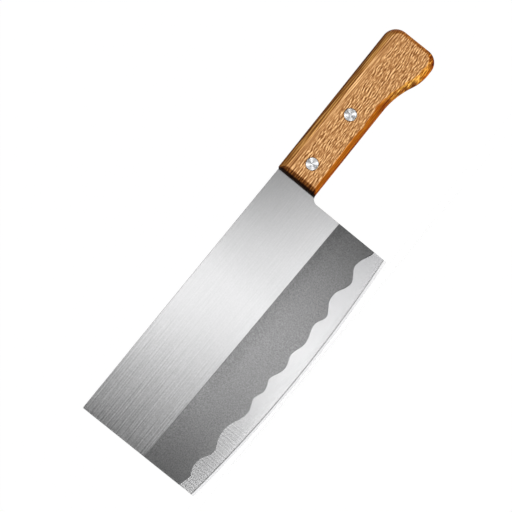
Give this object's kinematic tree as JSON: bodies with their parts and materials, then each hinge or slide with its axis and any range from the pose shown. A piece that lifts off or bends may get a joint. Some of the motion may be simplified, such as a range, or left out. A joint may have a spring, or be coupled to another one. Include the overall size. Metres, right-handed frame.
{
  "type": "chopping knife",
  "caption": "Broad chopping knife: a ground steel blade with a dark blasted band and a wavy lower line, riveted by its tang into a solid wooden handle.",
  "frame": {"origin": "under the middle of the knife's length, on its mid-plane, level with the lowest point of the cutting edge", "axes": "+X from the blade's front to the butt of the handle, +Y through the thickness, +Z from the cutting edge up to the spine"},
  "size_m": [0.2904, 0.02, 0.0898],
  "materials": {
    "blade_steel": "flats ground along the blade, a dark fine-blasted band below them, and a bright cross-ground strip and sharpened edge",
    "handle_wood": "oiled tan hardwood with dark wavy flecks along the grain, darker on the eased edges and the end grain",
    "rivet_steel": "faced heads with fine rings, bright",
    "dark_resin": "cured resin sanded flush with the wood"
  },
  "bodies": {
    "root": {"blade": "blade_steel", "handle": "handle_wood", "kerf_filler": "dark_resin", "front_rivet_body": "rivet_steel", "front_rivet_pin": "rivet_steel", "rear_rivet_body": "rivet_steel", "rear_rivet_pin": "rivet_steel"}
  },
  "joints": []
}
